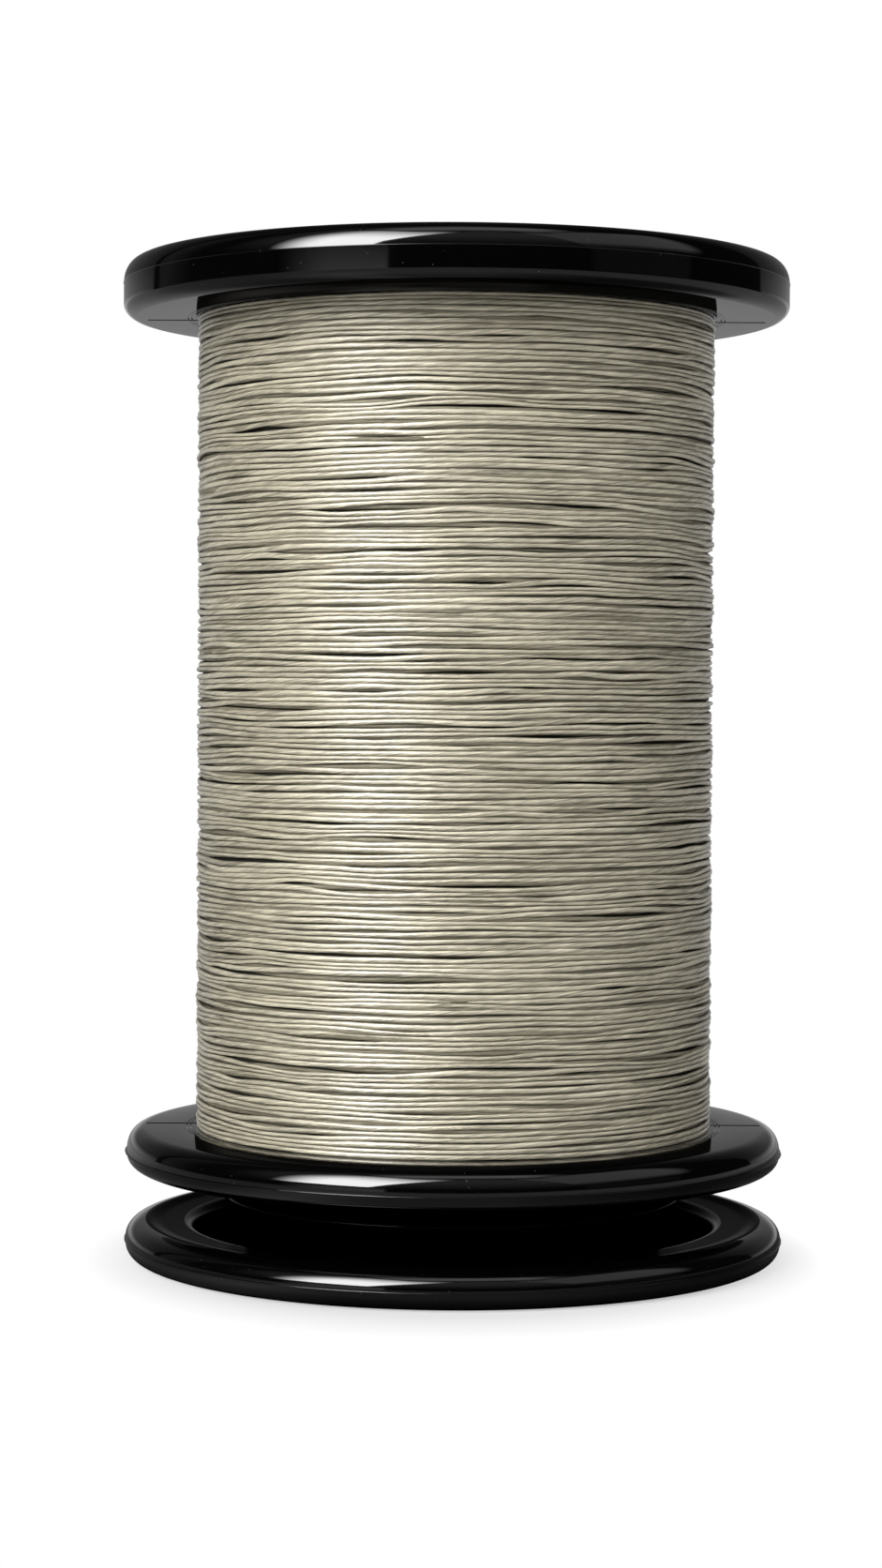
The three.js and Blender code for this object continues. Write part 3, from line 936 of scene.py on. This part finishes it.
FLOOR_HALF = 2.5
FLOOR_DIFFUSE = 0.45
FLOOR_LIFT = 0.46
SHADOW_REACH = (0.026, 0.0335, 0, 1)          # the floor is plain white from here on
SHADOW_SQUEEZE = 1.2             # and sooner at the sides
# levels of the painted light and shade that gloss sees on the floor
FLOOR_BEHIND = 0.32              # what gloss mirrors from the floor far behind
FLOOR_AHEAD = 0.36               # and from the open floor in front
FLOOR_NEAR = 0.19                # close to the foot
FLOOR_SPILL = 0.22               # where the key light pools
SPILL_SIDE = 0.62                # how far to the left, as a sine

# The sleeve is a painted reflection of the winding, seen only by gloss.
SLEEVE_GAP = 0.40 * MM           # the winding mirrors as it is up to this height
SLEEVE_STANDOFF = 0.14 * MM
SLEEVE_SEGMENTS = 96
SLEEVE_ROWS = (0.45, 0.72, 0.0, 0.06)
SLEEVE_DARK = 0.005
LIT_SIDE = (-0.42, -0.91)        # toward the key light

# Azimuth, elevation, distance, width, height, radiance. Azimuth 0 is in front, + to the right.
SOFTBOXES = {
    "key_softbox": (-38, 26, 0.62, 0.40, 0.50, 7.0),
    "fill_softbox": (70, 18, 0.70, 0.45, 0.40, 3.0),
}

# The same, then the fades at the left, right, lower and upper edge, and the roll.
MIRRORED_PANELS = {
    "key_mirrored": (-41, 38.5, 2.0, 1.50, 2.30, 20.0, (0.75, 0.05, 0.05, 1.45), -16),
    "spill_mirrored": (-43, 4, 2.2, 1.65, 0.70, 0.62, (0.9, 0.05, 0.05, 0.45), 0),
    "fill_mirrored": (68, 38, 2.0, 2.0, 1.9, 0.60, (0.06, 0.35, 0.6, 0.3), 0),
    "fill_low_mirrored": (65, 8, 2.2, 1.75, 0.7, 0.055, (0.2, 0.2, 0.2, 0.2), 0),
    "top_mirrored": (8, 70, 2.0, 1.9, 1.0, 1.2, (0.5, 0.5, 0.45, 0.25), 0),
}

LENS = 76.1
CAMERA_PLACE = (-1.03 * MM, -252.3 * MM, FLOOR_Z + 43.35 * MM)
CAMERA_PITCH = 1.71              # degrees down
CAMERA_ROLL = 0.254


def from_behind(tree, facing):
    """1 toward the backdrop, 0 elsewhere; facing is the cosine from straight behind."""
    return remap(tree, facing, BACKDROP_EDGE, BACKDROP_EDGE + BACKDROP_BLUR, 0.0, 1.0)


def build_world():
    """White to the camera. Gloss sees a black room with a backdrop behind: a bright strip at
    the horizon, dim above it, and ending in upright edges at both sides."""
    world = bpy.data.worlds.new("studio")
    bpy.context.scene.world = world
    world.use_nodes = True
    tree = world.node_tree
    background = tree.nodes["Background"]
    x, y, z = axes(tree, node(tree, "ShaderNodeTexCoord").outputs["Generated"])
    flat = added(tree, math_node(tree, "POWER", x, 2.0), math_node(tree, "POWER", y, 2.0))
    flat = math_node(tree, "SQRT", math_node(tree, "MAXIMUM", flat, 1e-6))
    facing = math_node(tree, "DIVIDE", y, flat)

    middle = remap(tree, facing, BACKDROP_EDGE, 1.0, BACKDROP_SIDES, 1.0)
    backdrop = product(tree, from_behind(tree, facing), middle,
                       remap(tree, z, *BACKDROP_STRIP, smooth=True),
                       remap(tree, z, *BACKDROP_TOP))
    flag = product(tree, remap(tree, facing, *FLAG_START), remap(tree, facing, *FLAG_END),
                   remap(tree, x, -0.3, 0.0, 1.0, 0.0), SIDE_FLAG)
    ahead = product(tree, remap(tree, facing, 0.0, -0.5, 0.0, 1.0),
                    remap(tree, z, *FRONT_CEILING))
    mirrored = added(tree, backdrop, FRONT_DARK, ahead, flag)

    path = node(tree, "ShaderNodeLightPath")
    soft = mix_number(tree, path.outputs["Is Glossy Ray"], SKY_LEVEL, mirrored)
    seen = mix_number(tree, path.outputs["Is Camera Ray"], soft, 1.0)
    background.inputs["Color"].default_value = (1, 1, 1, 1)
    tree.links.new(seen, background.inputs["Strength"])


def floor_in_gloss(tree, where, distance):
    """Painted light and shade that gloss mirrors from the floor: lit in front, a painted shadow
    of the spool to the right, painted dark where the foot stands, and pale far behind."""
    x, y, _ = axes(tree, where)
    away = math_node(tree, "MAXIMUM", distance, 1e-4)
    facing = math_node(tree, "DIVIDE", y, away)
    side = math_node(tree, "DIVIDE", x, away)
    # painted shadow of the spool, to the right
    shade = math_node(tree, "MAXIMUM", remap(tree, side, 0.15, 0.85, 1.0, 0.25),
                      remap(tree, distance, 0.08, 0.13, 0.0, 1.0))
    ahead = product(tree, remap(tree, distance, 0.05, 0.11, FLOOR_NEAR, FLOOR_AHEAD), shade,
                    remap(tree, side, -0.95, -0.75, 0.6, 1.0))
    # painted pool of the key light
    off_spill = math_node(tree, "ABSOLUTE", added(tree, side, SPILL_SIDE))
    spill = product(tree, remap(tree, off_spill, 0.0, 0.28, FLOOR_SPILL, 0.0),
                    remap(tree, facing, -0.3, 0.0, 1.0, 0.0),
                    remap(tree, distance, 0.12, 0.20, 1.0, 0.0))
    # painted contact shadow where the foot stands
    contact = remap(tree, distance, FLANGE_RADIUS - 0.8 * MM, FLANGE_RADIUS + 1.5 * MM, 0.0, 1.0)
    behind = product(tree, from_behind(tree, facing),
                     remap(tree, distance, 0.15, 0.35, 0.0, 1.0))
    return mix_number(tree, behind, product(tree, added(tree, ahead, spill), contact),
                      FLOOR_BEHIND)


def build_floor():
    """A pale floor that keeps the spool's shadow and goes out to plain white."""
    half = FLOOR_HALF
    floor = mesh_object(
        "floor",
        [(-half, -half, FLOOR_Z), (half, -half, FLOOR_Z), (half, half, FLOOR_Z),
         (-half, half, FLOOR_Z)],
        [(0, 1, 2, 3)],
        smooth=False,
    )
    material, tree, surface = bare_material("floor_white")
    path = node(tree, "ShaderNodeLightPath")
    where = place(tree)
    diffuse = node(tree, "ShaderNodeBsdfDiffuse")
    diffuse.inputs["Color"].default_value = (FLOOR_DIFFUSE, FLOOR_DIFFUSE, FLOOR_DIFFUSE, 1)
    glow = emission(tree, product(tree, path.outputs["Is Camera Ray"], FLOOR_LIFT))
    pale = node(tree, "ShaderNodeAddShader")
    tree.links.new(diffuse.outputs[0], pale.inputs[0])
    tree.links.new(glow.outputs[0], pale.inputs[1])

    squeezed = node(tree, "ShaderNodeVectorMath", operation="MULTIPLY")
    tree.links.new(where, squeezed.inputs[0])
    squeezed.inputs[1].default_value = (SHADOW_SQUEEZE, 1.0, 1.0)
    far = product(tree, remap(tree, length_of(tree, squeezed.outputs[0]), *SHADOW_REACH),
                  path.outputs["Is Camera Ray"])
    seen = mix_shader(tree, far, pale.outputs[0], emission(tree, 1.0).outputs[0])
    mirrored = emission(tree, floor_in_gloss(tree, where, length_of(tree, where)))
    tree.links.new(mix_shader(tree, path.outputs["Is Glossy Ray"], seen, mirrored.outputs[0]),
                   surface)
    floor.data.materials.append(material)


def aimed(obj, azimuth, elevation, distance, roll=0):
    """Places a lamp or panel facing the spool's middle. Azimuth 0 is in front, + to the right."""
    around = math.radians(azimuth)
    up = math.radians(elevation)
    middle = Vector((0, 0, TOP_END / 2))
    toward = Vector((math.sin(around) * math.cos(up), -math.cos(around) * math.cos(up),
                     math.sin(up)))
    obj.location = middle + toward * distance
    turned = (-toward).to_track_quat("-Z", "Y") @ Quaternion((0, 0, 1), math.radians(roll))
    obj.rotation_euler = turned.to_euler()


def only_in_gloss(obj):
    """Hides a thing from everything but mirroring surfaces."""
    obj.visible_camera = False
    obj.visible_diffuse = False
    obj.visible_transmission = False
    obj.visible_shadow = False


def softbox(name, azimuth, elevation, distance, width, height, radiance):
    """The light of a softbox on matt surfaces."""
    lamp = bpy.data.lights.new(name, "AREA")
    lamp.shape = "RECTANGLE"
    lamp.size = width
    lamp.size_y = height
    lamp.energy = radiance * math.pi * width * height
    obj = bpy.data.objects.new(name, lamp)
    bpy.context.collection.objects.link(obj)
    aimed(obj, azimuth, elevation, distance)
    obj.visible_glossy = False


def mirrored_panel(name, azimuth, elevation, distance, width, height, radiance, fades, roll):
    """The softbox's front as gloss shows it, fading to its left, right, lower and upper edge."""
    x = width / 2
    y = height / 2
    panel = mesh_object(name, [(-x, -y, 0), (x, -y, 0), (x, y, 0), (-x, y, 0)], [(0, 1, 2, 3)],
                        smooth=False)
    aimed(panel, azimuth, elevation, distance, roll)
    only_in_gloss(panel)
    material, tree, surface = bare_material(name)
    across, upward, _ = axes(tree, place(tree))
    left, right, lower, upper = fades
    level = product(tree,
                    remap(tree, across, -x, left - x, 0.0, 1.0, smooth=True),
                    remap(tree, across, x - right, x, 1.0, 0.0, smooth=True),
                    remap(tree, upward, -y, lower - y, 0.0, 1.0, smooth=True),
                    remap(tree, upward, y - upper, y, 1.0, 0.0, smooth=True),
                    radiance)
    tree.links.new(emission(tree, level).outputs[0], surface)
    panel.data.materials.append(material)


def build_lights():
    for name, values in SOFTBOXES.items():
        softbox(name, *values)
    for name, values in MIRRORED_PANELS.items():
        mirrored_panel(name, *values)
    build_painted_reflection_sleeve()


def build_painted_reflection_sleeve():
    """A painted reflection: a dark sleeve round the winding that only gloss sees, so that in the
    flanges' faces the winding mirrors as dark with a few pale rows, painted brighter on the side
    toward the key light, and bright just where it touches."""
    radius = WINDING_RADIUS + SLEEVE_STANDOFF
    low = TRAVERSE_LOW + SLEEVE_GAP
    high = TRAVERSE_HIGH - 0.05 * MM
    verts = []
    faces = []
    for i in range(SLEEVE_SEGMENTS):
        angle = 2 * math.pi * i / SLEEVE_SEGMENTS
        x, y = radius * math.cos(angle), radius * math.sin(angle)
        verts += [(x, y, low), (x, y, high)]
        n = (i + 1) % SLEEVE_SEGMENTS
        faces.append((2 * i, 2 * n, 2 * n + 1, 2 * i + 1))
    sleeve = mesh_object("painted_reflection_sleeve", verts, faces)
    only_in_gloss(sleeve)
    material, tree, surface = bare_material("painted_reflection_sleeve")
    where = place(tree)
    x, y, _ = axes(tree, where)
    # painted highlight: the sleeve glows brighter on the side toward the key light
    lit = added(tree, product(tree, x, LIT_SIDE[0]), product(tree, y, LIT_SIDE[1]))
    lit = remap(tree, lit, 0.72 * WINDING_RADIUS, WINDING_RADIUS, 0.0, 1.0)
    rows = noise(tree, stretched(tree, where, (60, 60, 1400)), 1.0, 2)
    level = added(tree, product(tree, lit, remap(tree, rows, *SLEEVE_ROWS)), SLEEVE_DARK)
    glow = emission(tree, level)
    glow.inputs["Color"].default_value = (1.0, 0.95, 0.82, 1)
    inside = node(tree, "ShaderNodeNewGeometry").outputs["Backfacing"]
    clear = node(tree, "ShaderNodeBsdfTransparent")
    tree.links.new(mix_shader(tree, inside, glow.outputs[0], clear.outputs[0]), surface)
    sleeve.data.materials.append(material)


def build_camera():
    """Long lens from the front, a little above the spool's middle."""
    camera = bpy.data.cameras.new("camera")
    camera.sensor_width = 36
    camera.lens = LENS
    camera.clip_start = 0.01
    obj = bpy.data.objects.new("camera", camera)
    bpy.context.collection.objects.link(obj)
    obj.location = CAMERA_PLACE
    level = Matrix.Rotation(math.radians(90 - CAMERA_PITCH), 4, "X")
    roll = Matrix.Rotation(math.radians(CAMERA_ROLL), 4, "Z")
    obj.rotation_euler = (level @ roll).to_euler()
    bpy.context.scene.camera = obj


# ---------------------------------------------------------------- assembly


def build_mouldings():
    group = moulded_surface_group()
    finish = {name: black_plastic(name, group, *values) for name, values in PLASTICS.items()}

    top = make_top_flange()
    base = make_base_flange()
    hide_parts("top_flange")
    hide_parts("base_flange")
    spool_pieces = [top, base]
    for side, word in ((-1, "left"), (1, "right")):
        spool_pieces.append(make_split_line(f"base_split_line_{word}", side, TRAVERSE_LOW, 1))
        spool_pieces.append(make_split_line(f"top_split_line_{word}", side, TOP_UNDER, -1))
    for piece in spool_pieces:
        paint(piece, finish["flange_plastic"])
        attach(piece, "spool")
    boss_wall = BOSS_RADIUS + 0.01 * MM
    boss_edge = BOSS_RADIUS + BOSS_LIP + 0.02 * MM
    # painted shade: the boss's wall and the cavity under it are coloured flat black
    paint_where(base, finish["painted_shade_plastic"],
                lambda r, z, up: r < boss_wall and z < CAVITY_ROOF + MM)
    # painted shade: the boss's lower edge with its gloss turned down
    paint_where(base, finish["boss_edge_plastic"],
                lambda r, z, up: boss_wall < r < boss_edge and z < BOSS_BOTTOM + 1.2 * MM)
    paint_where(base, finish["face_plastic"],
                lambda r, z, up: z > TRAVERSE_LOW - FACE_MARGIN and up > 0.7)
    paint_where(top, finish["face_plastic"],
                lambda r, z, up: r > BARREL_RADIUS and z < TOP_UNDER + FACE_MARGIN)

    foot_pieces = [make_foot_disc(), *make_fingers()]
    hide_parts("snap_foot")
    for piece in foot_pieces:
        paint(piece, finish["foot_plastic"])
        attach(piece, "foot")
    disc = foot_pieces[0]
    dish_wall = DISH_RADIUS + 0.02 * MM
    dish_edge = DISH_RADIUS + DISH_EDGE_ROUND
    bead_start = FOOT_RIM - RIM_BEAD + BEAD_SLOPE / 2
    # painted shade: the dish inside the foot is coloured flat black
    paint_where(disc, finish["painted_shade_plastic"],
                lambda r, z, up: r < dish_wall and z > FOOT_RECESS)
    # painted shade: the dish edge and the land with their gloss turned down
    paint_where(disc, finish["dish_edge_plastic"],
                lambda r, z, up: DISH_RADIUS < r < dish_edge and z > FOOT_LAND - MM)
    paint_where(disc, finish["land_plastic"],
                lambda r, z, up: dish_edge < r < bead_start and z > FOOT_LAND - 0.02 * MM)
    paint(frame["nodes"]["barrel"], finish["barrel_plastic"])


def build_winding():
    group = twisted_fibres_group()
    finish = {name: strand_finish(name, group, *values) for name, values in STRANDS.items()}
    under_pass, outer_pass = wind()
    top_strand = strand_mesh("winding_outer_pass", outer_pass, OUTER_SIDES)
    under_strand = strand_mesh("winding_under_pass", under_pass, UNDER_SIDES)
    inner_layers = make_core()
    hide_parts("filament_outer_layer")
    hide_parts("filament_inner_layers")
    # painted shade: the under pass and the inner layers get darker copies of the strand's finish
    for piece, look in ((top_strand, "strand_outer"), (under_strand, "strand_under_shaded"),
                        (inner_layers, "strand_core_shaded")):
        paint(piece, finish[look])
        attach(piece, "spool")


build_camera()
build_world()
build_floor()
build_lights()
build_mouldings()
build_winding()

bpy.context.scene.view_settings.view_transform = "Standard"
